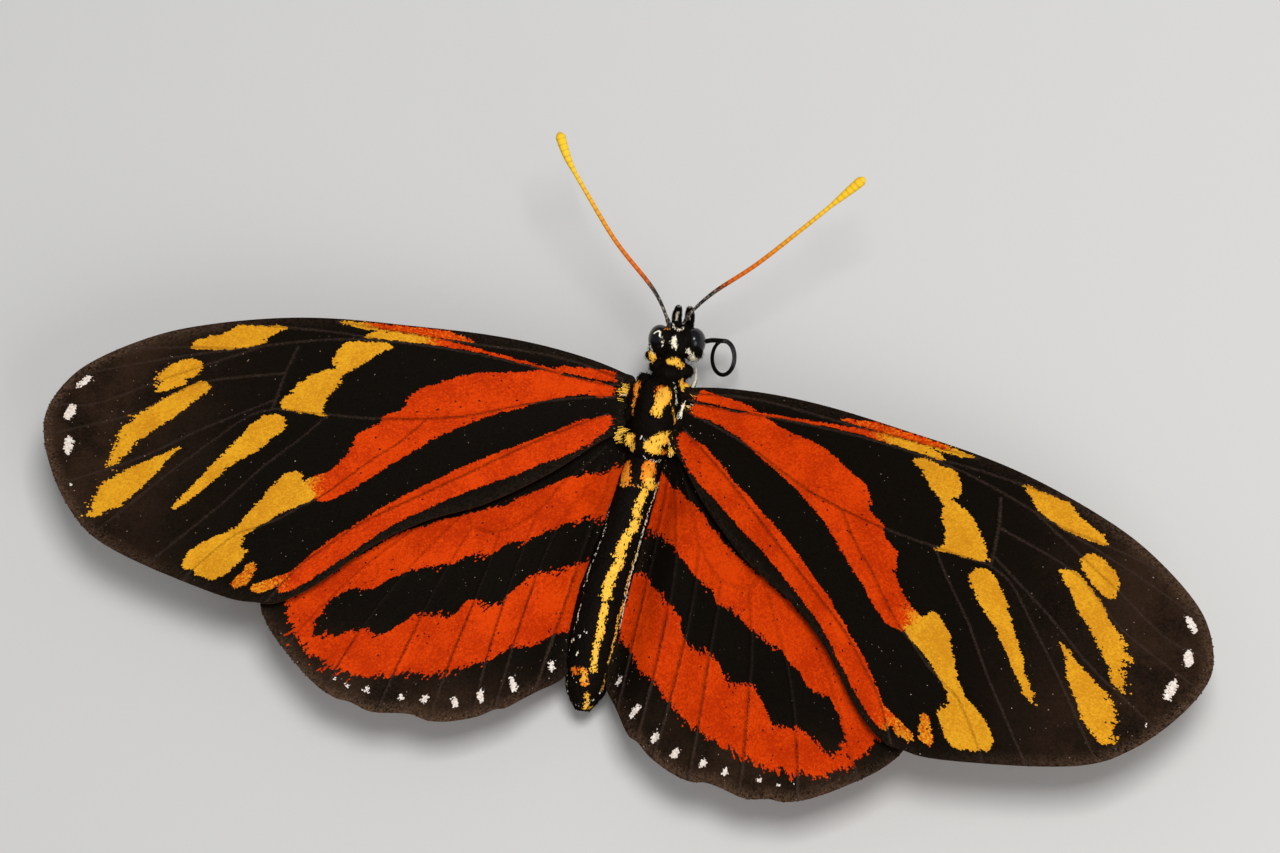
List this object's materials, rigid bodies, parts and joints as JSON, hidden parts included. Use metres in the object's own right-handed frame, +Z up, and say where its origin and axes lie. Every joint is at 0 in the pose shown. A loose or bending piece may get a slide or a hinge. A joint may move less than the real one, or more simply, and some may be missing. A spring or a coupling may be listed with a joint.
{
  "type": "longwing butterfly specimen model",
  "caption": "Life-size still model of a longwing butterfly standing with its wings spread flat, with raised wing veins, feelers, palps, coiled sucking tube and legs.",
  "frame": {"origin": "centre of the whole butterfly's bounding box, on the floor that its feet stand on", "axes": "+X to the butterfly's right along its wingspan, +Y towards its head, +Z up from the floor"},
  "size_m": [0.0796, 0.0406, 0.011],
  "materials": {
    "body": "short black and golden hair and scales",
    "eyes": "glossy, finely faceted",
    "palps": "dark scales with white streaks",
    "antennae": "finely ringed, yellow at the club",
    "proboscis": "smooth and glossy",
    "wings": "velvety scales in orange, yellow and black",
    "legs": "dark brown, lightly scaled"
  },
  "bodies": {
    "root": {"head": "body", "collar": "body", "thorax": "body", "abdomen": "body", "eye_left": "eyes", "eye_right": "eyes", "palp_left": "palps", "palp_right": "palps", "antenna_left": "antennae", "antenna_right": "antennae", "proboscis_base": "proboscis", "proboscis_loop": "proboscis", "forewing_left": "wings", "forewing_right": "wings", "hindwing_left": "wings", "hindwing_right": "wings", "foreleg_left": "legs", "foreleg_right": "legs", "midleg_left": "legs", "midleg_right": "legs", "hindleg_left": "legs", "hindleg_right": "legs"}
  },
  "joints": []
}
